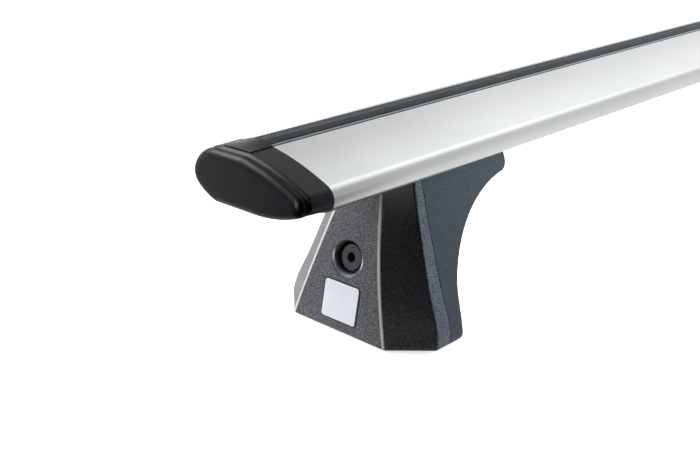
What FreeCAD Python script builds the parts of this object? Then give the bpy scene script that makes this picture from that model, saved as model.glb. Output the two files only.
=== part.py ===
import FreeCAD, Part
import math
import os

from FreeCAD import Placement, Rotation
from FreeCAD import Vector as V

# Roof rack crossbar: a wing-section aluminium bar on two moulded feet, with end caps.
# Millimetres. X runs along the bar, +Y is the blunt nose of the wing, +Z is up.
# The origin is under the middle of the bar, on the plane that the feet stand on.
# The left foot is at -X. The right one is its mirror image.

# Bar
overall_length = 1180.0
foot_height = 91.3
bar_width = 80.0
bar_height = 29.0
nose_reach = 34.5
nose_radius = 10.0
nose_centre_height = 14.4
nose_lower_angle = 50.0
tail_radius = 7.4
tail_centre_height = 10.6
crown_radius = 150.0
flat_front = 18.0
flat_rear = -19.0
bar_wall = 2.2

# Upper slot and its rubber strip
slot_centre = 6.6
slot_mouth = 11.8
slot_lip = 3.0
slot_channel_width = 20.0
slot_channel_depth = 8.0
groove_inner = 16.8
groove_width = 1.5
groove_depth = 1.9
strip_clearance = 0.3
strip_rise = 2.2
strip_flat = 6.8
strip_shoulder_rise = 0.5
strip_foot_width = 14.0
strip_foot_height = 2.0
strip_wall = 1.8
strip_corner = 0.5

# Lower channel that the foot bolts hang in
channel_mouth = 9.0
channel_lip = 2.5
channel_width = 17.0
channel_height = 6.0
web_thickness = 2.0
web_front = 9.5
web_rear = -4.4

# End caps
cap_collar = 15.4
cap_groove = 3.0
cap_rim = 4.1
cap_draft = 0.2
cap_groove_inset = 1.7
cap_groove_roll = 1.2
cap_rim_inset = 0.35
cap_rim_drop = 0.2
cap_tail_lift = 1.0
cap_lift_start = 0.5
lift_run = 8.0
cap_rim_spread = 4.8
cap_rim_steps = 14
cap_groove_lean = 9.0
cap_groove_end = 9.4
cap_wall = 2.2
cap_gap = 0.2
cap_tab_width = 19.4
cap_tab_rise = 2.3
cap_tab_fade = 0.33
cap_tab_edge = 0.6
cap_tab_round = 0.35
plug_length = 24.0
plug_clearance = 0.4
plug_wall = 1.8

# Foot: outer form, measured from its front lower edge
foot_inset = 70.0
front_lean = 0.152
front_bulge = 0.001445
front_half_base = 35.8
front_half_top = 10.9
front_half_hollow = 0.6
shoulder_setback_base = 20.0
shoulder_setback_top = 34.6
side_half_base = 57.3
side_half_top = 25.3
side_shoulder_height = 20.0
side_shoulder_drop = 5.7
side_hollow = 1.0
seam_base = 31.8
seam_lean = 0.1
seam_gap = 0.5
heel_setback = 43.2
heel_height = 8.7
heel_round = 5.0
arm_reach = 117.0
arm_tip_height = 14.0
arm_tip_round = 6.7
arm_radius = 80.0
front_edge_round = 3.0
shoulder_edge_round = 2.0
base_round = 2.4
saddle_gap = 0.3

# Foot: body moulding
body_wall = 3.6
body_floor = 8.0
body_roof = 6.0
body_rear_wall = 4.0
arm_core_roof = 7.0
rib = 3.0
shelf_drop = 28.0

# Foot: cover
cover_wall = 2.6
cover_saddle_gap = 1.1
cover_base_gap = 0.6
cover_roof = 2.5
cover_fit = 0.5
tongue_length = 5.0
tongue_thickness = 1.6
tongue_height = 15.0
tongue_inner = 18.0
tongue_shares = (0.2, 0.5)

# Lock axis and barrel
lock_height = 43.2
lock_tilt = 13.2
recess_bore = 18.4
recess_lip = 23.8
recess_depth = 6.0
recess_floor = 2.5
recess_sleeve_wall = 2.2
barrel_head = 15.4
barrel_head_depth = 3.0
barrel_head_round = 0.8
barrel_stem = 11.6
barrel_play = 0.2
barrel_end_depth = 12.6
key_hole = 5.9
index_dot = 0.6
index_dot_inset = 1.9
seat_play = 0.1
cam_play = 0.5
cam_bore_play = 0.05
cam_hub_wall = 2.5
cam_thickness = 2.0
cam_reach = 18.4
cam_width = 7.0
clip_thickness = 1.0
clip_diameter = 15.0
clip_gap = 4.0

# Tension screw, its insert and the claw carrier
screw_start = 13.8
screw_head = 13.0
screw_head_height = 5.0
screw_head_chamfer = 0.6
screw_tip_chamfer = 0.8
screw_socket = 5.0
screw_socket_depth = 3.0
screw_diameter = 8.0
screw_length = 13.5
insert_start = 27.6
insert_length = 8.8
insert_diameter = 12.0
insert_play = 0.1
boss_wall = 3.0
boss_back = 1.2
carrier_thickness = 3.0
carrier_width = 32.0
carrier_up = 12.0
carrier_down = 25.0
carrier_lip = 6.0
carrier_play = 0.3
carrier_bore_play = 0.4
rail_play = 0.4
rail_front = 14.5
catch_front = 6.4
catch_up = 14.0
catch_down = 9.0
window_up = 12.8
window_down = 5.0
window_play = 0.5

# Badge
badge_width = 26.4
badge_length = 22.0
badge_height = 17.8
badge_thickness = 1.7
badge_recess = 1.3
badge_corner = 1.8
badge_gap = 0.7
badge_edge_round = 0.5
badge_bed = 0.05

# Tee bolts that hold the foot to the bar
tee_setbacks = (68.5, 96.0)
tee_bolt = 8.0
tee_head = 15.6
tee_head_height = 4.5
tee_head_round = 2.0
tee_tip_chamfer = 0.9
tee_bore_play = 0.4
tee_gap = 0.1
tee_seat = 12.0
tee_well = 18.4
washer_diameter = 16.0
washer_thickness = 1.6
washer_play = 0.2
nut_across = 13.0
nut_height = 6.5
nut_face_share = 0.97
bolt_tail = 2.5
bolt_play = 0.1

# Base plate
plate_thickness = 4.0
plate_setback = 16.6
plate_depth = 20.0
plate_width = 88.0
plate_play = 0.2
plate_corner = 3.0
plate_hole = 8.6
plate_hole_spacing = 64.0
plate_screw = 5.0
plate_screw_head = 9.6
plate_screw_spacing = 34.0
plate_screw_length = 7.2
plate_screw_inset = 0.3
plate_screw_socket = 3.0
plate_screw_socket_depth = 1.7
claw_notch_width = 34.0
claw_notch_depth = 13.0

# Derived values
half_length = overall_length / 2
cap_length = cap_collar + cap_groove + cap_rim
bar_half = half_length - cap_length - cap_gap
foot_front = -half_length + foot_inset
nose_centre = (nose_reach - nose_radius, nose_centre_height)
tail_centre = (nose_reach - bar_width + tail_radius, tail_centre_height)
slot_land = groove_inner + 2 * groove_width
clear = 400.0


# Plane geometry helpers

def section_point(y, z, x=0.0):
    """A point of the bar's section, z measured from the bar's underside."""
    return V(x, y, foot_height + z)


def on_circle(centre, radius, angle):
    return (centre[0] + radius * math.cos(angle), centre[1] + radius * math.sin(angle))


def on_line(a, b, share):
    return (a[0] + (b[0] - a[0]) * share, a[1] + (b[1] - a[1]) * share)


def meet(p, u, q, w):
    """Where the line through p along u meets the line through q along w."""
    cross = u[0] * w[1] - u[1] * w[0]
    share = ((q[0] - p[0]) * w[1] - (q[1] - p[1]) * w[0]) / cross
    return (p[0] + u[0] * share, p[1] + u[1] * share)


def arc_edge(a, b, c):
    return Part.Arc(a, b, c).toShape()


def line_edge(a, b):
    return Part.LineSegment(a, b).toShape()


def rounded_ring(corners, radii, place):
    """A closed wire through plane corners, each rounded by its radius. place maps (u, v) to space."""
    edges = []
    ends = []
    for i, (corner, radius) in enumerate(zip(corners, radii)):
        before, after = corners[i - 1], corners[(i + 1) % len(corners)]
        a = V(before[0] - corner[0], before[1] - corner[1], 0)
        b = V(after[0] - corner[0], after[1] - corner[1], 0)
        a.normalize()
        b.normalize()
        half = a.getAngle(b) / 2
        reach = radius / math.tan(half)
        middle = a + b
        middle.normalize()
        depth = radius / math.sin(half) - radius
        ends.append(
            (
                (corner[0] + a.x * reach, corner[1] + a.y * reach),
                (corner[0] + middle.x * depth, corner[1] + middle.y * depth),
                (corner[0] + b.x * reach, corner[1] + b.y * reach),
            )
        )
    for i, (start, top, end) in enumerate(ends):
        edges.append(arc_edge(place(*start), place(*top), place(*end)))
        edges.append(line_edge(place(*end), place(*ends[(i + 1) % len(ends)][0])))
    return Part.Wire(edges)


def block(x0, x1, y0, y1, z0, z1):
    return Part.makeBox(x1 - x0, y1 - y0, z1 - z0, V(x0, y0, z0))


def section_block(y0, y1, z0, z1):
    """A rectangle of the bar's section, as a face at x = 0."""
    corners = [section_point(*p) for p in ((y0, z0), (y1, z0), (y1, z1), (y0, z1))]
    return Part.Face(Part.makePolygon(corners + corners[:1]))


# Bar section

def tail_circle(lift):
    """The tail's rounding, with its underside lifted. Its crest and its tip stay where they are."""
    radius = tail_radius - lift
    return (nose_reach - bar_width + radius, tail_centre_height + lift), radius


def crown_arc(lift):
    """End and middle of the crown, an arc from the slot that runs smoothly into the tail."""
    start = (slot_centre - slot_land / 2, bar_height)
    tail, radius = tail_circle(lift)
    dy, dz = tail[0] - start[0], tail[1] - start[1]
    distance = math.hypot(dy, dz)
    inner = crown_radius - radius
    along = (crown_radius**2 - inner**2 + distance**2) / (2 * distance)
    across = math.sqrt(crown_radius**2 - along**2)
    uy, uz = dy / distance, dz / distance
    centre = (start[0] + along * uy - across * uz, start[1] + along * uz + across * uy)
    first = math.atan2(start[1] - centre[1], start[0] - centre[0])
    last = math.atan2(tail[1] - centre[1], tail[0] - centre[0])
    top = on_circle(centre, crown_radius, (first + last) / 2)
    end = on_circle(centre, crown_radius, last)
    return start, top, end


def brow_arc():
    """The arc from the slot's edge down into the nose, smooth with both, and its angle where they meet."""
    start = (slot_centre + slot_land / 2, bar_height)
    dy, dz = nose_centre[0] - start[0], bar_height - nose_centre[1]
    radius = (dy**2 + dz**2 - nose_radius**2) / (2 * (dz - nose_radius))
    centre = (start[0], bar_height - radius)
    meeting = math.atan2(nose_centre[1] - centre[1], nose_centre[0] - centre[0])
    middle = on_circle(centre, radius, (meeting + math.pi / 2) / 2)
    return start, middle, on_circle(centre, radius, meeting), meeting


def bar_outline(lift=0.0):
    """The wing's closed outline, without its slots. The caps lift the underside of its tail."""
    crown_start, crown_middle, crown_end = crown_arc(lift)
    slot_edge, brow_mid, nose_top, nose_high = brow_arc()
    low = math.radians(-nose_lower_angle)
    nose_low = on_circle(nose_centre, nose_radius, low)
    nose_mid = on_circle(nose_centre, nose_radius, (nose_high + low) / 2)
    chine_start = (flat_front, 0.0)
    chord = (nose_low[0] - chine_start[0], nose_low[1] - chine_start[1])
    half_turn = math.pi / 2 + low - math.atan2(chord[1], chord[0])
    bulge = math.tan(half_turn / 2) / 2
    half_way = on_line(chine_start, nose_low, 0.5)
    chine_mid = (half_way[0] + chord[1] * bulge, half_way[1] - chord[0] * bulge)
    tail, radius = tail_circle(lift)
    sole_start = flat_rear + lift_run * lift
    run = sole_start - tail[0]
    sole_radius = (run**2 + tail[1] ** 2 - radius**2) / (2 * (tail[1] - radius))
    sole_centre = (sole_start, sole_radius)
    sole_angle = math.atan2(tail[1] - sole_centre[1], tail[0] - sole_centre[0])
    tail_end = on_circle(sole_centre, sole_radius, sole_angle)
    sole_mid = on_circle(sole_centre, sole_radius, (sole_angle - math.pi / 2) / 2)
    tail_mid = (tail[0] - radius, tail[1])
    p = section_point
    return Part.Wire(
        [
            line_edge(p(sole_start, 0), p(flat_front, 0)),
            arc_edge(p(*chine_start), p(*chine_mid), p(*nose_low)),
            arc_edge(p(*nose_low), p(*nose_mid), p(*nose_top)),
            arc_edge(p(*nose_top), p(*brow_mid), p(*slot_edge)),
            line_edge(p(*slot_edge), p(*crown_start)),
            arc_edge(p(*crown_start), p(*crown_middle), p(*crown_end)),
            arc_edge(p(*crown_end), p(*tail_mid), p(*tail_end)),
            arc_edge(p(*tail_end), p(*sole_mid), p(sole_start, 0)),
        ]
    )


def offset_face(offset):
    """The bar's outline as a face, grown or shrunk by an offset."""
    outline = bar_outline()
    if offset:
        outline = outline.makeOffset2D(offset)
    return Part.Face(outline)


def prism(face, x0, x1):
    """A section face run along the bar from x0 to x1."""
    moved = face.copy()
    moved.translate(V(x0, 0, 0))
    return moved.extrude(V(x1 - x0, 0, 0))


def slot_box():
    """Section of the metal round the upper slot, before the slot is cut."""
    floor = bar_height - slot_lip - slot_channel_depth - bar_wall
    half = slot_channel_width / 2 + bar_wall
    return section_block(slot_centre - half, slot_centre + half, floor, bar_height)


def channel_box():
    """Section of the metal round the lower channel, before it is cut."""
    half = channel_width / 2 + web_thickness
    return section_block(-half, half, 0, channel_lip + channel_height + web_thickness)


def chambers():
    """The long hollow chambers of the extrusion, nose, middle and tail, as faces."""
    hollow = offset_face(-bar_wall)
    hollow = hollow.cut(slot_box()).cut(channel_box())
    for y in (web_front, web_rear):
        hollow = hollow.cut(section_block(y - web_thickness / 2, y + web_thickness / 2, 0, bar_height))
    return sorted(hollow.Faces, key=lambda f: f.CenterOfMass.y)


def bar_section():
    """The extrusion's full section: wing wall, slots, lips, grooves and webs."""
    section = offset_face(0)
    for chamber in chambers():
        section = section.cut(chamber)
    lip_floor = bar_height - slot_lip
    section = section.cut(
        section_block(slot_centre - slot_mouth / 2, slot_centre + slot_mouth / 2, lip_floor, bar_height + 1)
    )
    section = section.cut(
        section_block(
            slot_centre - slot_channel_width / 2,
            slot_centre + slot_channel_width / 2,
            lip_floor - slot_channel_depth,
            lip_floor,
        )
    )
    for side in (-1, 1):
        inner = slot_centre + side * groove_inner / 2
        outer = inner + side * groove_width
        section = section.cut(
            section_block(min(inner, outer), max(inner, outer), bar_height - groove_depth, bar_height + 1)
        )
    section = section.cut(section_block(-channel_mouth / 2, channel_mouth / 2, -1, channel_lip))
    section = section.cut(
        section_block(-channel_width / 2, channel_width / 2, channel_lip, channel_lip + channel_height)
    )
    return section


def make_bar_profile():
    return prism(bar_section(), -bar_half, bar_half)


def make_slot_strip():
    """Rubber strip: a raised flat-topped cap on a neck, with a foot snapped under the lips."""
    top = bar_height + strip_rise
    shoulder = bar_height + strip_shoulder_rise
    cap = slot_mouth / 2 - strip_clearance
    lip_floor = bar_height - slot_lip
    foot_top = lip_floor - strip_clearance
    foot_low = foot_top - strip_foot_height
    half = [
        (strip_flat / 2, top),
        (cap, shoulder),
        (cap, foot_top),
        (strip_foot_width / 2, foot_top),
        (strip_foot_width / 2 - strip_foot_height, foot_low),
        (cap - strip_wall, foot_low),
        (cap - strip_wall, shoulder - strip_wall),
    ]
    right = [(slot_centre + y, z) for y, z in half]
    left = [(slot_centre - y, z) for y, z in reversed(half)]
    corners = right + left
    ring = rounded_ring(corners, [strip_corner] * len(corners), section_point)
    return prism(Part.Face(ring), -bar_half, bar_half)


# End cap

def tab_wire(x, edge, crest):
    """Section of the cap's tab at a place x: an arc over the band that the rubber strip runs in."""
    half = cap_tab_width / 2
    right = section_point(slot_centre + half, bar_height + edge, x)
    top = section_point(slot_centre, bar_height + crest, x)
    left = section_point(slot_centre - half, bar_height + edge, x)
    low_left = section_point(slot_centre - half, bar_height - cap_wall, x)
    low_right = section_point(slot_centre + half, bar_height - cap_wall, x)
    sides = [line_edge(left, low_left), line_edge(low_left, low_right), line_edge(low_right, right)]
    return Part.Wire([arc_edge(right, top, left)] + sides)


def make_tab(inner, front):
    """Raised band on the cap that carries the line of the strip and sinks towards the groove."""
    high = tab_wire(inner, cap_tab_edge, cap_tab_rise)
    low = tab_wire(front, cap_tab_edge - cap_draft, cap_tab_rise * cap_tab_fade - cap_draft)
    tab = Part.makeLoft([high, low], True, True)
    ridge_floor = foot_height + bar_height - cap_wall / 2
    ridges = [e for e in tab.Edges if e.BoundBox.XLength > cap_collar / 2 and e.BoundBox.ZMin > ridge_floor]
    return tab.makeFillet(cap_tab_round, ridges)


def cap_wire(x, offset, lift, drop=0.0):
    wire = bar_outline(lift)
    if offset:
        wire = wire.makeOffset2D(offset)
    wire.translate(V(x, 0, -drop))
    return wire


def cap_skin(inner, tip, grooved):
    """The cap's outer block: drafted collar, a soft valley if grooved, then the rounded rim."""
    rolled = -cap_draft
    collar_end = inner - cap_collar
    groove_end = collar_end - cap_groove
    lift = cap_tail_lift
    stations = [(inner, 0, cap_lift_start), (collar_end + cap_groove_roll, rolled, lift)]
    if grooved:
        depth = cap_groove_inset
        stations += [
            (collar_end + cap_groove_roll * 0.4, rolled - 0.08 * depth, lift),
            (collar_end, rolled - 0.3 * depth, lift),
            (collar_end - cap_groove * 0.3, rolled - 0.8 * depth, lift),
            (collar_end - cap_groove * 0.55, rolled - depth, lift),
            (collar_end - cap_groove * 0.8, rolled - 0.85 * depth, lift),
        ]
    stations.append((groove_end, -cap_rim_inset, lift, cap_rim_drop))
    for step in range(1, cap_rim_steps + 1):
        turn = math.pi / 2 * step / cap_rim_steps
        spread = cap_rim_spread * (1 - math.cos(turn))
        x = groove_end + (tip - groove_end) * math.sin(turn)
        stations.append((x, -cap_rim_inset - spread, lift, cap_rim_drop))
    return Part.makeLoft([cap_wire(*station) for station in stations], True, True)


def groove_side(inner, tip):
    """The space above a plane through the tail's lower corner and the nose, where the groove runs."""
    lean = math.radians(cap_groove_lean)
    points = []
    for along, up in ((-clear, 0), (clear, 0), (clear, clear), (-clear, clear)):
        y = tail_centre[0] + along * math.cos(lean) - up * math.sin(lean)
        z = cap_groove_end + along * math.sin(lean) + up * math.cos(lean)
        points.append(section_point(y, z, tip - 1))
    return Part.Face(Part.makePolygon(points + points[:1])).extrude(V(inner - tip + 2, 0, 0))


def make_end_cap():
    """Left cap: drafted collar, shadow groove, rounded rim, raised tab and two hollow plugs."""
    inner = -half_length + cap_length
    collar_end = inner - cap_collar
    tip = -half_length
    above = groove_side(inner, tip)
    cap = cap_skin(inner, tip, True).common(above).fuse(cap_skin(inner, tip, False).cut(above))
    cap = cap.fuse(make_tab(inner, collar_end + cap_groove_roll * 0.4))
    hollow = Part.Face(cap_wire(0, -cap_wall, cap_tail_lift))
    cap = cap.cut(prism(hollow, inner + 1, collar_end + cap_wall))
    nose, tail = chambers()[-1], chambers()[0]
    for chamber in (nose, tail):
        outer = chamber.OuterWire.makeOffset2D(-plug_clearance)
        hollow = outer.makeOffset2D(-plug_wall)
        plug = Part.Face(outer).cut(Part.Face(hollow))
        cap = cap.fuse(prism(plug, collar_end + cap_wall - 0.5, inner + plug_length))
    return cap.removeSplitter()


# Foot outer form. Heights are from the base, setbacks from the foot's front lower edge.

def front_x(z):
    return foot_front + front_lean * z + front_bulge * z * z


def front_half(z):
    share = z / foot_height
    straight = front_half_base + (front_half_top - front_half_base) * share
    return straight - 4 * front_half_hollow * share * (1 - share)


def shoulder_x(z):
    share = z / foot_height
    return foot_front + shoulder_setback_base + (shoulder_setback_top - shoulder_setback_base) * share


def side_half(z):
    """Half width of the side faces: a hollow flank over a rounded shoulder at the base."""
    knee = side_half_base - side_shoulder_drop
    if z <= side_shoulder_height:
        share = max(z, 0.0) / side_shoulder_height
        return side_half_base - side_shoulder_drop * share * share
    share = (z - side_shoulder_height) / (foot_height - side_shoulder_height)
    return knee + (side_half_top - knee) * share - 4 * side_hollow * share * (1 - share)


def plan_corners(z, inset):
    """The foot's plan section at a height, moved inward by inset: front, shoulder and rear corners."""
    xf, hf, xs, hs = front_x(z), front_half(z), shoulder_x(z), side_half(z)
    run = (xs - xf, hs - hf)
    size = math.hypot(*run)
    start = (xf + run[1] / size * inset, hf - run[0] / size * inset)
    front = meet((xf + inset, 0), (0, 1), start, run)
    shoulder = meet((0, hs - inset), (1, 0), start, run)
    rear = (foot_front + arm_reach + clear / 4, hs - inset)
    right = [front, shoulder, rear]
    left = [(x, -y) for x, y in reversed(right)]
    return right + left


def foot_block(inset, low, high, rounded):
    """The foot's leaning, flaring block between two heights."""
    stations = [side_shoulder_height * share for share in (0.35, 0.7, 1.25)]
    stations += [foot_height * share for share in (0.44, 0.62, 0.81)]
    heights = [low] + [z for z in stations if low + 2 < z < high - 2] + [high]
    wires = []
    for z in heights:
        corners = plan_corners(z, inset)
        radii = [front_edge_round, shoulder_edge_round, shoulder_edge_round]
        if rounded:
            wires.append(rounded_ring(corners, radii + radii[::-1], lambda x, y, z=z: V(x, y, z)))
        else:
            points = [V(x, y, z) for x, y in corners]
            wires.append(Part.makePolygon(points + points[:1]))
    return Part.makeLoft(wires, True, False)


def seam_x(z):
    return foot_front + seam_base + seam_lean * z


def side_prism(points):
    """A solid from a closed ring of (x, z) points, run across the whole foot."""
    ring = [V(x, -clear / 2, z) for x, z in points]
    return Part.Face(Part.makePolygon(ring + ring[:1])).extrude(V(0, clear, 0))


def rear_limit(offset):
    """Everything in front of the foot's hollow back: heel, sweeping arc and rounded arm tip."""
    heel = (foot_front + heel_setback - offset, heel_height)
    tip = foot_front + arm_reach - offset
    top = foot_height + 10
    arm_low = foot_height - arm_tip_height + offset
    arc_end = (tip - arm_tip_round, arm_low)
    chord = (arc_end[0] - heel[0], arc_end[1] - heel[1])
    size = math.hypot(*chord)
    radius = arm_radius + offset
    depth = radius - math.sqrt(radius**2 - (size / 2) ** 2)
    middle = on_line(heel, arc_end, 0.5)
    bend = (middle[0] - chord[1] / size * depth, middle[1] + chord[0] / size * depth)
    turn = math.sqrt(0.5) * arm_tip_round

    def at(x, z):
        return V(x, -clear / 2, z)

    nose = (tip, arm_low + arm_tip_round)
    under = heel[0] - heel_round
    lean = heel_round * (1 - math.sqrt(0.5))
    edges = [
        line_edge(at(foot_front - clear, -1), at(under, -1)),
        line_edge(at(under, -1), at(under, 0)),
        arc_edge(at(under, 0), at(heel[0] - lean, lean), at(heel[0], heel_round)),
        line_edge(at(heel[0], heel_round), at(*heel)),
        arc_edge(at(*heel), at(*bend), at(*arc_end)),
        arc_edge(at(*arc_end), at(arc_end[0] + turn, nose[1] - turn), at(*nose)),
        line_edge(at(*nose), at(tip, top)),
        line_edge(at(tip, top), at(foot_front - clear, top)),
        line_edge(at(foot_front - clear, top), at(foot_front - clear, -1)),
    ]
    return Part.Face(Part.Wire(edges)).extrude(V(0, clear, 0))


def ahead_of_seam(gap):
    """Everything outboard of the seam between cover and body, held back by a gap."""
    low, high = -5, foot_height + 15
    return side_prism(
        [
            (foot_front - clear, low),
            (seam_x(low) - gap, low),
            (seam_x(high) - gap, high),
            (foot_front - clear, high),
        ]
    )


def under_bar(gap):
    """The bar's outer form grown by a gap, to cut the saddle with."""
    return prism(offset_face(gap), foot_front - clear / 4, foot_front + clear)


# Lock axis: depth runs inward and down from the front face, up runs along the face.

lock_origin = V(front_x(lock_height), 0, lock_height)
lock_frame = Placement(lock_origin, Rotation(V(0, 1, 0), lock_tilt))
inward = lock_frame.Rotation.multVec(V(1, 0, 0))


def lock_point(depth, across=0.0, up=0.0):
    return lock_frame.multVec(V(depth, across, up))


def lock_disc(diameter, start, end):
    return Part.makeCylinder(diameter / 2, end - start, lock_point(start), inward)


def lock_box(d0, d1, w0, w1, v0, v1):
    box = Part.makeBox(d1 - d0, w1 - w0, v1 - v0, V(d0, w0, v0))
    box.Placement = lock_frame
    return box


def hexagon_prism(across, height, base, axis, spin=0.0):
    """A hexagonal bar of a size across its flats, from base along axis."""
    radius = across / math.sqrt(3)
    points = [
        V(radius * math.cos(math.radians(60 * i + spin)), radius * math.sin(math.radians(60 * i + spin)), 0)
        for i in range(6)
    ]
    solid = Part.Face(Part.makePolygon(points + points[:1])).extrude(V(0, 0, height))
    solid.Placement = Placement(base, Rotation(V(0, 0, 1), axis))
    return solid


# Foot body

def foot_toe():
    """The rounded lower edge of the foot, from the ground up to where the flanks start."""
    wires = []
    for step in range(4):
        turn = math.radians(30 * step)
        z = base_round * (1 - math.cos(turn))
        corners = plan_corners(z, base_round * (1 - math.sin(turn)))
        radii = [front_edge_round, shoulder_edge_round, shoulder_edge_round]
        wires.append(rounded_ring(corners, radii + radii[::-1], lambda x, y, z=z: V(x, y, z)))
    return Part.makeLoft(wires, True, True)


def foot_outer(saddle):
    whole = foot_block(0, base_round, foot_height + 6, True).fuse(foot_toe())
    whole = whole.common(rear_limit(0))
    return whole.cut(under_bar(saddle))


def body_shell():
    """The body behind the seam, with one cavity that opens towards the cover."""
    outer = foot_outer(saddle_gap)
    behind = outer.cut(ahead_of_seam(-seam_gap / 2))
    cavity = foot_block(body_wall, body_floor, foot_height - body_roof, False)
    cavity = cavity.common(rear_limit(body_rear_wall))
    limit = foot_front + tee_setbacks[0] - tee_well / 2 - body_wall
    cavity = cavity.common(block(foot_front - 10, limit, -clear, clear, 0, clear))
    return behind.cut(cavity)


def body_sole():
    """The floor that runs forward inside the cover, with the notch that a claw hangs through."""
    sole = foot_block(cover_wall + cover_fit, 0, foot_height, False)
    sole = sole.common(block(foot_front, seam_x(0) + body_wall, -clear, clear, 0, body_floor))
    notch = block(
        foot_front - 5, foot_front + cover_wall + claw_notch_depth,
        -claw_notch_width / 2, claw_notch_width / 2, -1, body_floor + 1,
    )
    return sole.cut(notch)


def body_ribs():
    """Guide rails for the claw carrier, each with a catch for the lock cam, and stiffening ribs."""
    inner = carrier_width / 2 + rail_play
    deep = insert_start + insert_length
    parts = []
    for side in (-1, 1):
        w = sorted((side * inner, side * (inner + rib)))
        rail = lock_box(rail_front, deep, w[0], w[1], -carrier_down - 12, catch_up)
        catch = lock_box(catch_front, rail_front + 1, w[0], w[1], -catch_down, catch_up)
        cam_depth = recess_depth + recess_floor + cam_play
        window = lock_box(
            cam_depth - window_play, cam_depth + cam_thickness + window_play,
            w[0] - 1, w[1] + 1, -window_down, window_up,
        )
        parts.append(rail.fuse(catch).cut(window))
        front, back = seam_x(foot_height), foot_front + tee_setbacks[0]
        parts.append(block(front, back, w[0], w[1], body_floor, foot_height - 2))
    shelf_low = foot_height - shelf_drop
    parts.append(block(seam_x(shelf_low) + 2, back, -clear, clear, shelf_low, shelf_low + rib))
    return parts


def make_foot_body():
    """The main moulding: leg, arm, saddle, sole, ribs, insert boss, nut wells and core-outs."""
    body = body_shell()
    inside = foot_block(cover_wall + cover_fit, 0, foot_height, False)
    inside = inside.common(rear_limit(body_rear_wall / 2))
    inside = inside.cut(under_bar(cover_saddle_gap + cover_roof + cover_fit))
    sole = body_sole()
    floor_up = block(foot_front - 5, foot_front + arm_reach, -clear, clear, body_floor / 2, clear)
    ribs = [piece.common(inside).common(floor_up) for piece in body_ribs()]
    insert_end = insert_start + insert_length
    boss = lock_disc(insert_diameter + 2 * boss_wall, insert_start, insert_end + boss_wall)
    boss = boss.common(rear_limit(body_rear_wall / 2))
    body = body.fuse([sole, boss] + ribs)
    body = body.cut(lock_disc(insert_diameter, insert_start - 1, insert_end))
    body = body.cut(lock_disc(screw_diameter + 1, insert_start, insert_end + boss_back))
    for x in tee_places():
        body = body.cut(tee_hole(x))
    body = body.cut(plate_pocket())
    for pocket in arm_cores():
        body = body.cut(pocket)
    return body.removeSplitter()


def tee_places():
    return [foot_front + setback for setback in tee_setbacks]


def tee_hole(x):
    """Clearance hole through the saddle and the well for washer and nut under it."""
    seat = foot_height - saddle_gap - tee_seat
    hole = Part.makeCylinder(tee_bolt / 2 + tee_bore_play, tee_seat + 5, V(x, 0, seat - 1))
    well = Part.makeCylinder(tee_well / 2, seat, V(x, 0, 0))
    return hole.fuse(well)


def arm_cores():
    """Pockets beside the bolt wells, open underneath, with a cross rib between the bolts."""
    inside = foot_block(body_wall, 0, foot_height, False)
    start = foot_front + tee_setbacks[0] - tee_well / 2
    end = foot_front + arm_reach - arm_tip_round
    middle = foot_front + sum(tee_setbacks) / 2
    inner = tee_well / 2 + rib
    roof = foot_height - arm_core_roof
    pockets = []
    for side in (-1, 1):
        y0, y1 = sorted((side * inner, side * clear))
        for x0, x1 in ((start, middle - rib / 2), (middle + rib / 2, end)):
            pockets.append(inside.common(block(x0, x1, y0, y1, -1, roof)))
    return pockets


def plate_pocket():
    x0 = foot_front + plate_setback - plate_play
    half = plate_width / 2 + plate_play
    pocket = block(x0, x0 + plate_depth + 2 * plate_play, -half, half, -1, plate_thickness)
    for y in plate_hole_places():
        pocket = pocket.fuse(Part.makeCylinder(plate_hole / 2, body_floor + 2, V(plate_middle(), y, -1)))
    for y in plate_screw_places():
        pocket = pocket.fuse(
            Part.makeCylinder(plate_screw / 2 + bolt_play, plate_screw_length + 0.3, V(plate_middle(), y, 0))
        )
    return pocket


def plate_middle():
    return foot_front + plate_setback + plate_depth / 2


def plate_hole_places():
    return [-plate_hole_spacing / 2, plate_hole_spacing / 2]


def plate_screw_places():
    return [-plate_screw_spacing / 2, plate_screw_spacing / 2]


def make_base_plate():
    """Steel plate in the sole: two clearance holes for the roof kit, two countersunk for its screws."""
    x0 = foot_front + plate_setback
    corners = [
        (x0, -plate_width / 2), (x0 + plate_depth, -plate_width / 2),
        (x0 + plate_depth, plate_width / 2), (x0, plate_width / 2),
    ]
    ring = rounded_ring(corners, [plate_corner] * 4, lambda x, y: V(x, y, 0))
    plate = Part.Face(ring).extrude(V(0, 0, plate_thickness))
    for y in plate_hole_places():
        plate = plate.cut(Part.makeCylinder(plate_hole / 2, plate_thickness + 2, V(plate_middle(), y, -1)))
    for y in plate_screw_places():
        plate = plate.cut(screw_form(y, bolt_play))
    return plate


def screw_form(y, grow):
    """A countersunk screw standing in the base plate, point up, grown by a clearance."""
    head = plate_screw_head / 2 + grow
    neck = plate_screw / 2 + grow
    low = plate_screw_inset - grow
    cone = head - neck
    points = [
        V(0, 0, low), V(head, 0, low), V(neck, 0, low + cone),
        V(neck, 0, plate_screw_length + grow), V(0, 0, plate_screw_length + grow),
    ]
    solid = Part.Face(Part.makePolygon(points + points[:1])).revolve(V(0, 0, 0), V(0, 0, 1), 360)
    solid.translate(V(plate_middle(), y, 0))
    return solid


def make_plate_screws():
    screws = []
    for y in plate_screw_places():
        depth = plate_screw_inset + plate_screw_socket_depth
        socket = hexagon_prism(plate_screw_socket, depth, V(plate_middle(), y, 0), V(0, 0, 1))
        screws.append(screw_form(y, 0).cut(socket))
    return Part.makeCompound(screws)


# Tee bolts

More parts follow.
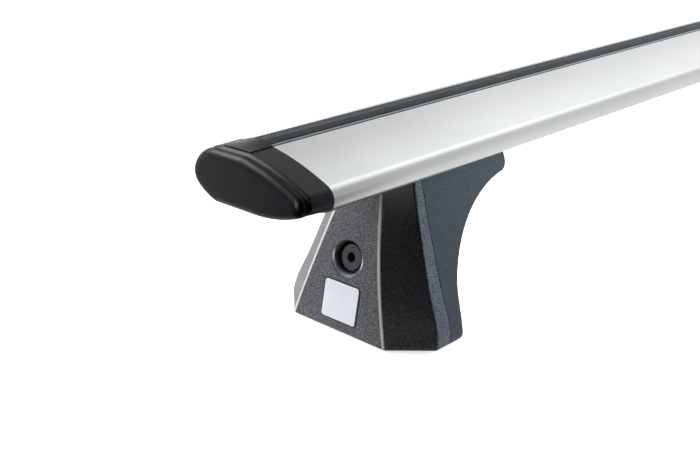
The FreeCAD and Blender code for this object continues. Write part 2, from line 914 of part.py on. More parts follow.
def make_tee_bolts():
    bolts = []
    top = foot_height + channel_lip + tee_gap
    seat = foot_height - saddle_gap - tee_seat
    low = seat - washer_thickness - nut_height - bolt_tail
    for x in tee_places():
        half = tee_head / 2
        head = block(x - half, x + half, -half, half, top, top + tee_head_height)
        upright = [e for e in head.Edges if abs(e.BoundBox.ZLength - tee_head_height) < 0.01]
        head = head.makeFillet(tee_head_round, upright)
        shank = Part.makeCylinder(tee_bolt / 2, top - low, V(x, 0, low))
        tip = [e for e in shank.Edges if abs(e.BoundBox.ZMax - low) < 0.01]
        shank = shank.makeChamfer(tee_tip_chamfer, tip)
        bolts.append(head.fuse(shank))
    return Part.makeCompound(bolts)


def make_tee_washers():
    washers = []
    seat = foot_height - saddle_gap - tee_seat
    for x in tee_places():
        base = V(x, 0, seat - washer_thickness)
        ring = Part.makeCylinder(washer_diameter / 2, washer_thickness, base)
        washers.append(ring.cut(Part.makeCylinder(tee_bolt / 2 + washer_play, washer_thickness, base)))
    return Part.makeCompound(washers)


def make_tee_nuts():
    nuts = []
    seat = foot_height - saddle_gap - tee_seat
    for x in tee_places():
        base = V(x, 0, seat - washer_thickness - nut_height)
        nut = hexagon_prism(nut_across, nut_height, base, V(0, 0, 1))
        corner = nut_across / math.sqrt(3)
        outer = nut_across / 2 * nut_face_share
        drop = (corner - outer) * 0.5
        points = [
            V(0, 0, 0), V(outer, 0, 0), V(corner, 0, drop),
            V(corner, 0, nut_height - drop), V(outer, 0, nut_height), V(0, 0, nut_height),
        ]
        turned = Part.Face(Part.makePolygon(points + points[:1])).revolve(V(0, 0, 0), V(0, 0, 1), 360)
        turned.translate(base)
        nut = nut.common(turned)
        nuts.append(nut.cut(Part.makeCylinder(tee_bolt / 2 + bolt_play, nut_height, base)))
    return Part.makeCompound(nuts)


# Cover, badge and lock

def badge_block(gap, low, high):
    """The badge's rounded block, low and high measured outward from the face at its middle."""
    tilt = math.degrees(math.atan(front_lean + 2 * front_bulge * badge_height))
    frame = Placement(V(front_x(badge_height), 0, badge_height), Rotation(V(0, 1, 0), tilt))
    w, h = badge_width / 2 + gap, badge_length / 2 + gap
    corners = [(-w, -h), (w, -h), (w, h), (-w, h)]
    ring = rounded_ring(corners, [badge_corner + gap] * 4, lambda y, z: V(0, y, z))
    solid = Part.Face(ring).extrude(V(-(high - low), 0, 0))
    solid.translate(V(-low, 0, 0))
    solid.Placement = frame.multiply(solid.Placement)
    return solid


def make_badge():
    """A bare badge plate with a softened face, let into the cover."""
    low = -badge_recess + badge_bed
    plate = badge_block(0, low, low + badge_thickness)
    front = sorted(plate.Faces, key=lambda f: f.CenterOfMass.x)[0]
    return plate.makeFillet(badge_edge_round, front.Edges)


def cover_shell():
    """Hollow front half of the foot, open at the back and at the base."""
    outer = foot_outer(cover_saddle_gap).common(ahead_of_seam(seam_gap / 2))
    outer = outer.cut(block(foot_front - 20, foot_front + 80, -clear, clear, -5, cover_base_gap))
    hollow = foot_block(cover_wall, -2, foot_height + 6, False)
    hollow = hollow.cut(under_bar(cover_saddle_gap + cover_roof))
    return outer.cut(hollow)


def cover_tongues():
    """Thin tongues on the inside of the flanks that slip into the body's cavity."""
    inner = body_wall + cover_fit
    core = foot_block(inner + tongue_thickness, 0, foot_height, False)
    tongue = foot_block(inner, 0, foot_height, False).cut(core)
    root = foot_block(cover_wall / 2, 0, foot_height, False).cut(core).common(ahead_of_seam(cover_fit))
    bands = []
    for share in tongue_shares:
        low = foot_height * share
        front, back = seam_x(low) - tongue_length, seam_x(low) + tongue_length
        for side in (-1, 1):
            y0, y1 = sorted((side * tongue_inner, side * clear))
            reach = block(front, back, y0, y1, low, low + tongue_height)
            bands.append(tongue.common(reach))
            bands.append(root.common(reach))
    return bands


def recess_flare():
    """Cutter that rolls the front face softly into the lock's recess."""
    bore = recess_bore / 2
    roll = (recess_lip - recess_bore) / 2
    turn = roll * math.sqrt(0.5)
    edges = [
        line_edge(V(0, 0, -4), V(0, 0, roll)),
        line_edge(V(0, 0, roll), V(bore, 0, roll)),
        arc_edge(V(bore, 0, roll), V(bore + roll - turn, 0, roll - turn), V(bore + roll, 0, 0)),
        line_edge(V(bore + roll, 0, 0), V(bore + roll, 0, -4)),
        line_edge(V(bore + roll, 0, -4), V(0, 0, -4)),
    ]
    flare = Part.Face(Part.Wire(edges)).revolve(V(0, 0, 0), V(0, 0, 1), 360)
    flare.Placement = Placement(lock_point(0), Rotation(V(0, 0, 1), inward))
    return flare


def make_foot_cover():
    cover = cover_shell()
    sleeve_size = recess_bore + 2 * recess_sleeve_wall
    sleeve = lock_disc(sleeve_size, -4, recess_depth + recess_floor)
    sleeve = sleeve.common(foot_block(0.4, 0, foot_height, False))
    cover = cover.fuse([sleeve] + cover_tongues())
    cover = cover.cut(lock_disc(recess_bore, -8, recess_depth))
    cover = cover.cut(lock_disc(barrel_stem + 2 * barrel_play, 0, recess_depth + recess_floor + 1))
    cover = cover.cut(recess_flare())
    cover = cover.cut(badge_block(badge_gap, -badge_recess, 4))
    return cover.removeSplitter()


def make_lock_barrel():
    """Quarter-turn barrel: dished head, stem through the recess floor and a hole for the hexagon key."""
    head_end = recess_depth - seat_play
    head = lock_disc(barrel_head, barrel_head_depth, head_end)
    rim = [e for e in head.Edges if (e.CenterOfMass - lock_point(barrel_head_depth)).Length < 0.5]
    head = head.makeFillet(barrel_head_round, rim)
    stem = lock_disc(barrel_stem, head_end - 0.5, barrel_end_depth)
    barrel = head.fuse(stem)
    barrel = barrel.cut(lock_disc(key_hole, 0, barrel_end_depth + 1))
    dot = Part.makeSphere(index_dot, lock_point(barrel_head_depth, 0, barrel_head / 2 - index_dot_inset))
    return barrel.cut(dot).removeSplitter()


def make_lock_cam():
    """The tongue behind the recess floor. Turned a quarter, it reaches into the body's catch."""
    start = recess_depth + recess_floor + cam_play
    hub = lock_disc(barrel_stem + 2 * cam_hub_wall, start, start + cam_thickness)
    half = cam_width / 2
    arm = lock_box(start, start + cam_thickness, -half, half, 0, cam_reach - half)
    end = Part.makeCylinder(half, cam_thickness, lock_point(start, 0, cam_reach - half), inward)
    bore = lock_disc(barrel_stem + 2 * cam_bore_play, start - 1, start + cam_thickness + 1)
    return hub.fuse([arm, end]).cut(bore).removeSplitter()


def make_lock_clip():
    """Snap ring that keeps the cam on the barrel."""
    start = recess_depth + recess_floor + cam_play + cam_thickness + seat_play
    end = start + clip_thickness
    half = clip_gap / 2
    ring = lock_disc(clip_diameter, start, end)
    ring = ring.cut(lock_disc(barrel_stem + 2 * cam_bore_play, start - 1, end + 1))
    return ring.cut(lock_box(start - 1, end + 1, -half, half, -clip_diameter, 0))


# Tension screw, insert and carrier

def make_tension_screw():
    """Low-head socket screw on the lock axis, reached through the barrel's key hole."""
    neck = screw_start + screw_head_height
    head = lock_disc(screw_head, screw_start, neck)
    rim = [e for e in head.Edges if (e.CenterOfMass - lock_point(screw_start)).Length < 0.5]
    head = head.makeChamfer(screw_head_chamfer, rim)
    shank = lock_disc(screw_diameter, neck - 0.5, neck + screw_length)
    tip = [e for e in shank.Edges if (e.CenterOfMass - lock_point(neck + screw_length)).Length < 0.5]
    shank = shank.makeChamfer(screw_tip_chamfer, tip)
    socket = hexagon_prism(screw_socket, screw_socket_depth + 1, lock_point(screw_start - 1), inward)
    return head.fuse(shank).cut(socket)


def make_tension_insert():
    """Metal insert that the screw runs in, pressed into the boss of the body."""
    end = insert_start + insert_length
    bore = lock_disc(screw_diameter + 2 * insert_play, insert_start - 1, end + 1)
    return lock_disc(insert_diameter, insert_start, end).cut(bore)


def make_claw_carrier():
    """Steel plate behind the screw's head, with a turned-out lip that a roof claw hooks on."""
    start = screw_start + screw_head_height + carrier_play
    end = start + carrier_thickness
    half = carrier_width / 2
    plate = lock_box(start, end, -half, half, -carrier_down, carrier_up)
    out = start - carrier_lip
    low = -carrier_down
    lip = lock_box(out, end, -half, half, low, low + carrier_thickness)
    curb = lock_box(out, out + carrier_thickness, -half, half, low, low + 2 * carrier_thickness)
    carrier = plate.fuse([lip, curb]).removeSplitter()
    return carrier.cut(lock_disc(screw_diameter + 2 * carrier_bore_play, start - 1, end + 1))


# Output

def save(name, shape):
    if shape.ShapeType == "Compound" and len(shape.Solids) == 1:
        shape = shape.Solids[0]
    shape.exportStep(os.path.join("parts", name + ".step"))


def mirrored(shape):
    return shape.mirror(V(0, 0, 0), V(1, 0, 0))


def main():
    os.makedirs("parts", exist_ok=True)
    save("bar_profile", make_bar_profile())
    save("slot_strip", make_slot_strip())
    pieces = {
        "end_cap": make_end_cap,
        "foot_body": make_foot_body,
        "foot_cover": make_foot_cover,
        "badge_plate": make_badge,
        "lock_barrel": make_lock_barrel,
        "lock_cam": make_lock_cam,
        "lock_clip": make_lock_clip,
        "tension_screw": make_tension_screw,
        "tension_insert": make_tension_insert,
        "claw_carrier": make_claw_carrier,
        "base_plate": make_base_plate,
        "plate_screws": make_plate_screws,
        "tee_bolts": make_tee_bolts,
        "tee_washers": make_tee_washers,
        "tee_nuts": make_tee_nuts,
    }
    for name, make in pieces.items():
        shape = make()
        save(name + "_left", shape)
        save(name + "_right", mirrored(shape))


main()
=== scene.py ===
import math

import bpy
from mathutils import Matrix, Vector
from mathutils.bvhtree import BVHTree


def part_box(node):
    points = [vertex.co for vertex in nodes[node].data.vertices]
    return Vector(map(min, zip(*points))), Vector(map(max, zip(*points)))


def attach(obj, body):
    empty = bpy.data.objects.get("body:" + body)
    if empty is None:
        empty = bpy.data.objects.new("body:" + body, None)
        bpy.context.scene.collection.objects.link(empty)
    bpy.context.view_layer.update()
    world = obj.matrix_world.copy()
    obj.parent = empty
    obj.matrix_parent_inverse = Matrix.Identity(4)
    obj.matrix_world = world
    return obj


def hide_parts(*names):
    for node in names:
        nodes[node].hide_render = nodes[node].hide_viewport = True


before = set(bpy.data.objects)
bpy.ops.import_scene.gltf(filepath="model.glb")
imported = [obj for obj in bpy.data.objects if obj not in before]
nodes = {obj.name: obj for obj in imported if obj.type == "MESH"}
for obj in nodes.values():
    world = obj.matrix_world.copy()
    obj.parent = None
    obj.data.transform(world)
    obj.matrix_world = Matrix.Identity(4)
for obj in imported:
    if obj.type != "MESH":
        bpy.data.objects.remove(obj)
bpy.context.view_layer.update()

# Node trees


class Graph:
    """A shader node tree, and the few kinds of node that this scene needs."""

    def __init__(self, tree):
        self.tree = tree

    def feed(self, socket, value):
        """Link another node's output to the socket, or give it a plain number, vector or colour."""
        if isinstance(value, bpy.types.NodeSocket):
            self.tree.links.new(value, socket)
        elif socket.type == "RGBA":
            socket.default_value = (*value, 1.0)
        else:
            socket.default_value = value

    def node(self, kind, inputs, output, **settings):
        """One output of a new node, whose inputs are fed by name or number."""
        made = self.tree.nodes.new(kind)
        for name, value in settings.items():
            setattr(made, name, value)
        for name, value in inputs.items():
            self.feed(made.inputs[name], value)
        return made.outputs[output]

    def calculate(self, operation, *values):
        """The result of one operation on plain numbers or other nodes' outputs."""
        inputs = dict(enumerate(values))
        return self.node("ShaderNodeMath", inputs, "Value", operation=operation)

    def part(self, vector, axis):
        """How far a vector reaches along X, Y or Z."""
        return self.node("ShaderNodeSeparateXYZ", {"Vector": vector}, axis)

    def along(self, vector, direction):
        """How far a vector reaches along a direction."""
        inputs = {0: vector, 1: direction}
        return self.node("ShaderNodeVectorMath", inputs, "Value", operation="DOT_PRODUCT")

    def ray(self, kind):
        """1 for rays of this kind, such as Camera or Glossy, and 0 for the others."""
        return self.node("ShaderNodeLightPath", {}, f"Is {kind} Ray")

    def ramp(self, value, low, high, out_low=0.0, out_high=1.0, **settings):
        """Runs from out_low to out_high while the value runs from low to high."""
        inputs = {
            "Value": value,
            "From Min": low,
            "From Max": high,
            "To Min": out_low,
            "To Max": out_high,
        }
        return self.node("ShaderNodeMapRange", inputs, "Result", clamp=True, **settings)


class Paint(Graph):
    """One procedural material."""

    def __init__(self, name):
        self.material = bpy.data.materials.new(name)
        self.material.use_nodes = True
        super().__init__(self.material.node_tree)
        self.shader = self.tree.nodes["Principled BSDF"]
        self.coords = self.node("ShaderNodeTexCoord", {}, "Object")

    def stretched(self, scale):
        inputs = {"Vector": self.coords, "Scale": scale}
        return self.node("ShaderNodeMapping", inputs, "Vector")

    def noise(self, scale, detail=3.0, roughness=0.5, vector=None):
        inputs = {
            "Vector": self.coords if vector is None else vector,
            "Scale": scale,
            "Detail": detail,
            "Roughness": roughness,
        }
        return self.node("ShaderNodeTexNoise", inputs, "Fac")

    def cells(self, scale, smoothness=0.6):
        inputs = {"Vector": self.coords, "Scale": scale, "Smoothness": smoothness}
        return self.node("ShaderNodeTexVoronoi", inputs, "Distance", feature="SMOOTH_F1")

    def mix(self, factor, color, other, **settings):
        """color where the factor is 0, and other where it is 1."""
        inputs = {"Factor": factor, "A": color, "B": other}
        return self.node("ShaderNodeMix", inputs, "Result", data_type="RGBA", **settings)

    def times(self, color, value):
        return self.mix(1.0, color, value, blend_type="MULTIPLY")

    def crevice_shade(self, distance, low, closed=0.30, clear=0.85):
        """Painted shade: low in gaps and corners that are mostly closed within the distance, 1 on
        open faces.
        """
        inputs = {"Distance": distance}
        share = self.node("ShaderNodeAmbientOcclusion", inputs, "AO", samples=8)
        return self.ramp(share, closed, clear, low, 1.0)

    def bump(self, height, strength, distance, under=None):
        """A surface normal that follows a height, on top of the bump under it if there is one."""
        inputs = {"Height": height, "Strength": strength, "Distance": distance}
        if under is not None:
            inputs["Normal"] = under
        return self.node("ShaderNodeBump", inputs, "Normal")

    def finish(self, **inputs):
        """The material, once its shader's inputs are fed. Their names have _ for a space."""
        for name, value in inputs.items():
            self.feed(self.shader.inputs[name.replace("_", " ")], value)
        return self.material


# Materials

# The range that most of a noise lies in
noise_middle = (0.3, 0.7)

# Painted shade: the strip's colour darkens towards its edge on the nose's side, between these places
# on Y in metres
strip_shade_band = (0.0092, 0.0108)
strip_painted_shade = 0.45

# A moulding's flecks and hue clouds: their scale as a share of its grain's, and their effect
fleck_share = 0.8
fleck_fade = 0.20
hue_share = 0.45
hue_middle = (0.35, 0.65)
hue_cool = (0.84, 0.97, 1.14)
hue_warm = (1.16, 1.02, 0.84)
gloss_spread = 0.06

# How deep a grain's tops and its worn edges are, as shares of its own depth
tops_share = 0.7
worn_share = 0.2

# The blunt edges of the foot's front, whose pale tone is a painted highlight: how far their normals
# turn sideways and forward, and where they start beside the foot's middle, in metres. Each pair runs
# from none to full.
edge_turn_start = (0.05, 0.17)
edge_turn_end = (0.64, 0.50)
edge_forward = (0.68, 0.76)
edge_place = (0.0102, 0.0110)


def anodised_aluminium():
    paint = Paint("satin_anodised_aluminium")
    drawn = paint.stretched((3.0, 1400.0, 1400.0))
    lines = paint.noise(scale=1.0, detail=4.0, roughness=0.6, vector=drawn)
    clouds = paint.ramp(paint.noise(scale=14.0), *noise_middle)
    color = paint.mix(clouds, (0.765, 0.785, 0.785), (0.82, 0.84, 0.84))
    grain = paint.bump(lines, strength=0.05, distance=0.0002)
    fine = paint.noise(scale=2600.0, detail=2.0)
    return paint.finish(
        Metallic=1.0,
        # Painted shade: the colour darkens in the bar's grooves and corners
        Base_Color=paint.times(color, paint.crevice_shade(distance=0.0025, low=0.08)),
        Roughness=paint.ramp(lines, *noise_middle, out_low=0.29, out_high=0.35),
        Normal=paint.bump(fine, strength=0.08, distance=0.0001, under=grain),
    )


def strip_rubber():
    paint = Paint("strip_rubber")
    dust = paint.noise(scale=60.0, detail=4.0, roughness=0.65)
    dust = paint.ramp(dust, low=0.35, high=0.75)
    color = paint.mix(dust, (0.030, 0.033, 0.036), (0.047, 0.050, 0.053))
    # Painted shade: the strip darkens towards its edge on the nose's side
    slope_shade = paint.ramp(paint.part(paint.coords, "Y"), *strip_shade_band, 1.0, strip_painted_shade)
    color = paint.times(color, slope_shade)
    wear = paint.noise(scale=300.0)
    return paint.finish(
        Specular_IOR_Level=0.35,
        # Painted shade: the colour darkens in the strip's gaps
        Base_Color=paint.times(color, paint.crevice_shade(distance=0.002, low=0.1)),
        Roughness=paint.ramp(wear, *noise_middle, out_low=0.55, out_high=0.72),
        Normal=paint.bump(paint.noise(scale=2200.0), strength=0.18, distance=0.0002),
    )


def blunt_edge(paint):
    """1 on the rounded edges between the foot's front face and its chamfers, 0 on the faces."""
    normal = paint.node("ShaderNodeTexCoord", {}, "Normal")
    sideways = paint.calculate("ABSOLUTE", paint.part(normal, "Y"))
    forward = paint.calculate("ABSOLUTE", paint.part(normal, "X"))
    aside = paint.calculate("ABSOLUTE", paint.part(paint.coords, "Y"))
    edge = paint.ramp(sideways, *edge_turn_start)
    for measure, limits in (
        (sideways, edge_turn_end),
        (forward, edge_forward),
        (aside, edge_place),
    ):
        edge = paint.calculate("MULTIPLY", edge, paint.ramp(measure, *limits))
    return edge


def moulded_plastic(
    name, dark, light, roughness, grain_scale, grain, speck, specular=0.32, polish_and_highlight=None
):
    """Spark-eroded grain with pale flecks, and painted shade in gaps and corners.
    polish_and_highlight, if any, is the pale tone of the blunt edges, whose grain is shallower
    there: a painted highlight.
    """
    paint = Paint(name)
    fleck = paint.noise(grain_scale * fleck_share, detail=2.0, roughness=0.6)
    color = paint.mix(paint.ramp(fleck, speck, speck + fleck_fade), dark, light)
    hue = paint.ramp(paint.noise(grain_scale * hue_share, detail=2.0), *hue_middle)
    color = paint.times(color, paint.mix(hue, hue_cool, hue_warm))
    # Painted shade: the moulding's colour darkens in its gaps and corners
    color = paint.times(color, paint.crevice_shade(distance=0.0025, low=0.05))
    gloss = (roughness + gloss_spread, roughness - gloss_spread)
    fleck_depth = grain
    tops_depth = grain * tops_share
    if polish_and_highlight is not None:
        edge = blunt_edge(paint)
        # Painted highlight: the blunt edges take the pale tone, standing in for their glint
        color = paint.mix(edge, color, polish_and_highlight)
        fleck_depth = paint.ramp(edge, 0.0, 1.0, grain, grain * worn_share)
        tops_depth = fleck_depth
    fine = paint.bump(fleck, fleck_depth, distance=0.0003)
    return paint.finish(
        Specular_IOR_Level=specular,
        Base_Color=color,
        Roughness=paint.ramp(fleck, *noise_middle, *gloss),
        Normal=paint.bump(paint.cells(grain_scale), tops_depth, distance=0.0002, under=fine),
    )


def bright_metal(name, low, high, smoothest, roughest):
    paint = Paint(name)
    stain = paint.ramp(paint.noise(scale=180.0, detail=4.0, roughness=0.6), *noise_middle)
    return paint.finish(
        Metallic=1.0,
        Base_Color=paint.mix(stain, low, high),
        Roughness=paint.ramp(paint.noise(scale=900.0), *noise_middle, smoothest, roughest),
        Normal=paint.bump(paint.noise(scale=1500.0), strength=0.1, distance=0.0001),
    )


def badge_plastic():
    paint = Paint("badge_plastic")
    clouds = paint.noise(scale=90.0)
    tone = paint.ramp(clouds, *noise_middle)
    color = paint.mix(tone, (0.56, 0.585, 0.625), (0.60, 0.62, 0.655))
    return paint.finish(
        Specular_IOR_Level=0.5,
        Coat_Weight=0.25,
        Coat_Roughness=0.12,
        # Painted shade: the colour darkens at the badge's edge and in its gap
        Base_Color=paint.times(color, paint.crevice_shade(distance=0.0012, low=0.15)),
        Roughness=paint.ramp(clouds, *noise_middle, out_low=0.28, out_high=0.36),
        Normal=paint.bump(paint.noise(scale=1600.0), strength=0.04, distance=0.0001),
    )


coats = {
    "bar_profile": anodised_aluminium(),
    "slot_strip": strip_rubber(),
    "end_cap": moulded_plastic(
        "cap_plastic",
        dark=(0.0025, 0.0032, 0.005),
        light=(0.006, 0.0074, 0.0105),
        roughness=0.36,
        grain_scale=1500.0,
        grain=0.10,
        speck=0.45,
        specular=0.28,
    ),
    "foot_cover": moulded_plastic(
        "cover_plastic",
        dark=(0.020, 0.025, 0.037),
        light=(0.190, 0.184, 0.184),
        roughness=0.31,
        grain_scale=2100.0,
        grain=0.34,
        speck=0.455,
        specular=0.42,
        # The pale tone of the cover's blunt edges is a painted highlight
        polish_and_highlight=(0.46, 0.445, 0.415),
    ),
    "foot_body": moulded_plastic(
        "body_plastic",
        dark=(0.025, 0.028, 0.033),
        light=(0.056, 0.062, 0.070),
        roughness=0.38,
        grain_scale=2100.0,
        grain=0.30,
        speck=0.42,
    ),
    "badge_plate": badge_plastic(),
    "lock_barrel": moulded_plastic(
        "lock_plastic",
        dark=(0.030, 0.032, 0.037),
        light=(0.045, 0.048, 0.054),
        roughness=0.40,
        grain_scale=1800.0,
        grain=0.10,
        speck=0.4,
    ),
    "base_plate": moulded_plastic(
        "plate_coating",
        dark=(0.028, 0.028, 0.03),
        light=(0.05, 0.05, 0.052),
        roughness=0.45,
        grain_scale=900.0,
        grain=0.2,
        speck=0.4,
    ),
    "tension_insert": bright_metal(
        "turned_brass",
        low=(0.62, 0.45, 0.20),
        high=(0.75, 0.57, 0.28),
        smoothest=0.26,
        roughest=0.40,
    ),
}
zinc = bright_metal(
    "zinc_plated_steel",
    low=(0.50, 0.50, 0.48),
    high=(0.66, 0.66, 0.63),
    smoothest=0.28,
    roughest=0.42,
)
for name, node in nodes.items():
    kind = name.removesuffix("_left").removesuffix("_right")
    node.data.materials.clear()
    node.data.materials.append(coats.get(kind, zinc))

# Foot neck

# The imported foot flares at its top, where the real one narrows straight up to the bar.
# These are the real one's heights and half widths in metres. A hollow is how far a side
# bends inward half way up.
base_round = 0.020
foot_top = 0.0913
flank_base = 0.0516
flank_top = 0.0253
flank_hollow = 0.001
face_base = 0.0358
face_top = 0.0109
face_hollow = 0.0006

# The foot is narrowed from neck_start up, and what lies within neck_ease below the bar
# follows the bar's underside
neck_start = 0.040
neck_ease = 0.010

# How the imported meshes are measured: steps and places in metres, the spans that the foot's
# length is cut into, and how far a reading stays below the last probe, in probe steps
probe_step = 0.002
slope_step = 0.0002
probe_reach = 0.2
open_span = 0.3
below_bar = 0.05
probe_spans = 30
probe_short = 0.001


class Skin:
    """The surface of one CAD node at rest, to measure from."""

    def __init__(self, name):
        mesh = nodes[name].data
        places = [vertex.co for vertex in mesh.vertices]
        faces = [face.vertices for face in mesh.polygons]
        self.tree = BVHTree.FromPolygons(places, faces)

    def hit(self, start, direction):
        """Where a ray first meets the surface, or None."""
        return self.tree.ray_cast(Vector(start), Vector(direction))[0]


def narrowing(base, top, hollow, share):
    """Half width of a side of the foot, at a share of the way from its base to its top."""
    return base + (top - base) * share - 4 * hollow * share * (1 - share)


def flank_half(z):
    """Half width of the real foot's flanks at a height."""
    share = (z - base_round) / (foot_top - base_round)
    return narrowing(flank_base, flank_top, flank_hollow, share)


def face_half(z):
    """Half width of the real foot's front face at a height."""
    return narrowing(face_base, face_top, face_hollow, z / foot_top)


def packed_halves(side):
    """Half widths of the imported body's flanks, by height from the start of the neck."""
    skin = Skin("foot_body_" + side)
    low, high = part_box("foot_body_" + side)
    length = high[0] - low[0]
    spots = [low[0] + length * step / probe_spans for step in range(1, probe_spans)]
    halves = []
    z = neck_start
    while z < high[2]:
        hits = [skin.hit((x, probe_reach, z), (0.0, -1.0, 0.0)) for x in spots]
        halves.append(max(hit.y for hit in hits if hit is not None))
        z = neck_start + probe_step * len(halves)
    return halves


def packed_half(halves, z):
    """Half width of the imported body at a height, read between two of the measured ones."""
    place = min((z - neck_start) / probe_step, len(halves) - 1 - probe_short)
    step = int(place)
    return halves[step] + (halves[step + 1] - halves[step]) * (place - step)


def bar_under(bar, y):
    """Height of the bar's underside at a place on Y, taken between the feet."""
    return bar.hit((open_span, y, below_bar), (0.0, 0.0, 1.0)).z


def narrowed(halves, y, z):
    """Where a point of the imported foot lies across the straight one."""
    edge = face_half(z)
    if z < neck_start or abs(y) <= edge:
        return y
    share = (flank_half(z) - edge) / (packed_half(halves, z) - edge)
    return math.copysign(edge + (abs(y) - edge) * share, y)


def straight_place(halves, bar, place):
    """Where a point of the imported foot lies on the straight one, whose top still meets the bar."""
    x, y, z = place
    across = narrowed(halves, y, z)
    if across == y or z <= foot_top - neck_ease:
        return (x, across, z)
    gap = bar_under(bar, y) - z
    share = min(max(1.0 - gap / neck_ease, 0.0), 1.0)
    return (x, across, z + (bar_under(bar, across) - bar_under(bar, y)) * share)


def straight_normal(halves, place, normal):
    """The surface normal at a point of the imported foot, once the foot is narrowed there."""
    x, y, z = place
    if z < neck_start or abs(y) <= face_half(z):
        return normal
    step = slope_step
    along_y = (narrowed(halves, y + step, z) - narrowed(halves, y - step, z)) / (2 * step)
    along_z = (narrowed(halves, y, z + step) - narrowed(halves, y, z - step)) / (2 * step)
    across = normal.y / along_y
    return Vector((normal.x, across, normal.z - across * along_z)).normalized()


def straight_neck(name, body, halves, bar):
    """A piece that stands for the node, with flanks that narrow straight up to the bar."""
    mesh = nodes[name].data.copy()
    places = [vertex.co.copy() for vertex in mesh.vertices]
    corners = [corner.vector.copy() for corner in mesh.corner_normals]
    normals = [
        straight_normal(halves, places[loop.vertex_index], corners[loop.index])
        for loop in mesh.loops
    ]
    for vertex, place in zip(mesh.vertices, places):
        vertex.co = straight_place(halves, bar, place)
    mesh.normals_split_custom_set(normals)
    piece = bpy.data.objects.new(name + "_straight", mesh)
    bpy.context.scene.collection.objects.link(piece)
    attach(piece, body)
    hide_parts(name)


bar_skin = Skin("bar_profile")
for side in ("left", "right"):
    widths = packed_halves(side)
    straight_neck("foot_body_" + side, "foot_" + side, widths, bar_skin)
    straight_neck("foot_cover_" + side, "cover_" + side, widths, bar_skin)

# Studio

# The camera as solved from the photo: its place and nearest distance in metres, its lens and
# film in millimetres, and the photo's right and up as directions
camera_place = (-0.8885, -0.3616, 0.2593)
camera_right = (0.68971341, -0.72408246, 0.0)
camera_up = (0.260402, 0.24804185, 0.93309487)
camera_lens = 51.84
camera_film = 36.0
camera_nearest = 0.01

# The way that the camera looks, seen from above
studio_depth = (0.724, 0.690, 0.0)

# The lamps stand round this place on the left foot
aim = Vector((-0.43, 0.0, 0.09))

# The sky is dark behind the camera and lit ahead of it, a little less straight ahead.
# Each pair is the cosines between which it changes, of the angle from lit_side or studio_depth.
lit_side = (0.69, 0.70, -0.18)
lit_cosines = (-0.16, 0.10)
back_cosines = (0.05, 0.90)
sky_dark = 0.012
sky_side = 0.62
sky_back = 0.53

# To reflections and bounced light the floor is dark in front of the bar's end, pale past it,
# and slightly darker on the tail's side. The pairs are places in metres, along studio_depth
# and on Y. The camera sees at least floor_seen of the floor's colour, plus floor_glow.
floor_size = 60.0
floor_drop = 0.0005
floor_color = (0.97, 0.97, 0.97)
floor_front = (-0.455, -0.375)
floor_dark = 0.02
floor_pale = 0.88
floor_side = (-0.14, 0.02)
floor_side_shade = 0.92
floor_seen = 0.55
floor_glow = 0.74

white = (1.0, 1.0, 1.0)
black = (0.0, 0.0, 0.0)


def floor():
    """Pale floor, white to the camera. Reflections see it by its own light."""
    bpy.ops.mesh.primitive_grid_add(x_subdivisions=4, y_subdivisions=4, size=floor_size)
    plane = bpy.context.object
    plane.name = "studio_floor"
    plane.location.z = -floor_drop
    paint = Paint("pale_floor")
    depth = paint.along(paint.coords, studio_depth)
    front = paint.ramp(depth, *floor_front, floor_dark, floor_pale)
    across = paint.ramp(paint.part(paint.coords, "Y"), *floor_side, floor_side_shade, 1.0)
    shade = paint.calculate("MULTIPLY", front, across)
    camera_ray = paint.ray("Camera")
    glossy_ray = paint.ray("Glossy")
    seen = paint.calculate("MULTIPLY", camera_ray, floor_seen)
    seen = paint.calculate("MAXIMUM", shade, seen)
    mirrored = paint.calculate("MULTIPLY", glossy_ray, shade)
    glow = paint.calculate("MULTIPLY", camera_ray, floor_glow)
    color = paint.mix(glossy_ray, floor_color, black)
    material = paint.finish(
        Specular_IOR_Level=0.0,
        Base_Color=paint.times(color, seen),
        Roughness=1.0,
        Emission_Color=white,
        Emission_Strength=paint.calculate("MAXIMUM", mirrored, glow),
    )
    plane.data.materials.append(material)


class Sky(Graph):
    """The studio's walls and ceiling as soft patches of light on a graded background."""

    def __init__(self):
        world = bpy.data.worlds.new("studio")
        bpy.context.scene.world = world
        world.use_nodes = True
        super().__init__(world.node_tree)
        self.view = self.node("ShaderNodeTexCoord", {}, "Generated")
        self.total = self.toward(lit_side, *lit_cosines, sky_dark, sky_side)
        self.add(self.toward(studio_depth, *back_cosines, 0.0, sky_back - sky_side))

    def toward(self, direction, start, end, low, high):
        """Runs from low to high while the cosine of the angle from direction runs to end."""
        cosine = self.along(self.view, Vector(direction).normalized())
        return self.ramp(cosine, start, end, low, high, interpolation_type="SMOOTHSTEP")

    def add(self, value):
        self.total = self.calculate("ADD", self.total, value)

    def patch(self, direction, inner, outer, strength):
        """A soft round patch: full up to the inner angle in degrees, gone at the outer one."""
        start = math.cos(math.radians(outer))
        end = math.cos(math.radians(inner))
        self.add(self.toward(direction, start, end, 0.0, strength))

    def finish(self):
        """White to the camera, and the patches' light to all else."""
        inputs = {"Factor": self.ray("Camera"), "A": self.total, "B": 1.0}
        strength = self.node("ShaderNodeMix", inputs, "Result")
        background = self.tree.nodes["Background"]
        self.feed(background.inputs["Color"], white)
        self.feed(background.inputs["Strength"], strength)


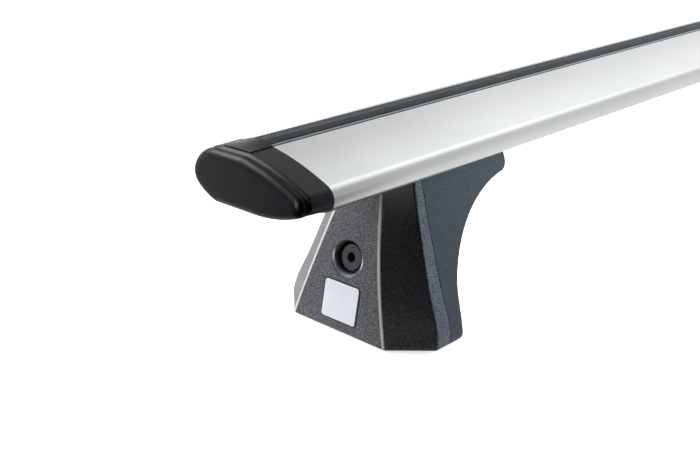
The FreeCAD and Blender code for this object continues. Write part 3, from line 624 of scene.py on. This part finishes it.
def lamp(name, direction, distance, width, height, radiance, tint, glossy=True, diffuse=True):
    """A rectangular lamp that faces the foot. radiance is how bright its face is."""
    light = bpy.data.lights.new(name, "AREA")
    light.shape = "RECTANGLE"
    light.size = width
    light.size_y = height
    light.energy = radiance * math.pi * width * height
    light.color = tint
    made = bpy.data.objects.new(name, light)
    bpy.context.scene.collection.objects.link(made)
    made.location = aim + Vector(direction).normalized() * distance
    made.rotation_euler = (aim - made.location).to_track_quat("-Z", "Y").to_euler()
    made.visible_camera = False
    made.visible_glossy = glossy
    made.visible_diffuse = diffuse


def camera():
    lens = bpy.data.cameras.new("photo_camera")
    lens.lens = camera_lens
    lens.sensor_width = camera_film
    lens.clip_start = camera_nearest
    eye = bpy.data.objects.new("photo_camera", lens)
    bpy.context.scene.collection.objects.link(eye)
    right = Vector(camera_right)
    up = Vector(camera_up)
    turn = Matrix((right, up, right.cross(up))).transposed().to_4x4()
    eye.matrix_world = Matrix.Translation(camera_place) @ turn
    bpy.context.scene.camera = eye


floor()
sky = Sky()
# A row is one patch: its direction, its inner and outer angle in degrees, and its strength
for direction, inner, outer, strength in (
    ((0.74, 0.02, 0.67), 6.0, 32.0, 0.32),
    ((0.76, -0.07, 0.65), 4.0, 18.0, 0.55),
    ((0.70, -0.68, 0.10), 10.0, 36.0, 0.22),
    ((0.95, 0.25, 0.20), 5.0, 38.0, 0.27),
    ((0.45, 0.85, 0.10), 8.0, 22.0, 1.2),
    ((-0.36, 0.66, 0.66), 8.0, 23.0, 8.2),
):
    sky.patch(direction, inner, outer, strength)
sky.finish()
lamp(
    "front_fill",
    direction=(-0.62, 0.78, 0.16),
    distance=1.3,
    width=0.5,
    height=0.9,
    radiance=16.0,
    tint=(0.98, 0.99, 1.02),
    glossy=False,
)
lamp(
    "flank_fill",
    direction=(0.88, -0.46, 0.04),
    distance=1.4,
    width=0.5,
    height=0.7,
    radiance=66.0,
    tint=(0.74, 0.93, 1.08),
    glossy=False,
)
lamp(
    "edge_strip",
    direction=(-0.95, -0.12, 0.27),
    distance=1.1,
    width=0.16,
    height=0.9,
    radiance=16.0,
    tint=(1.0, 0.97, 0.92),
    diffuse=False,
)
camera()
bpy.context.scene.view_settings.view_transform = "Standard"
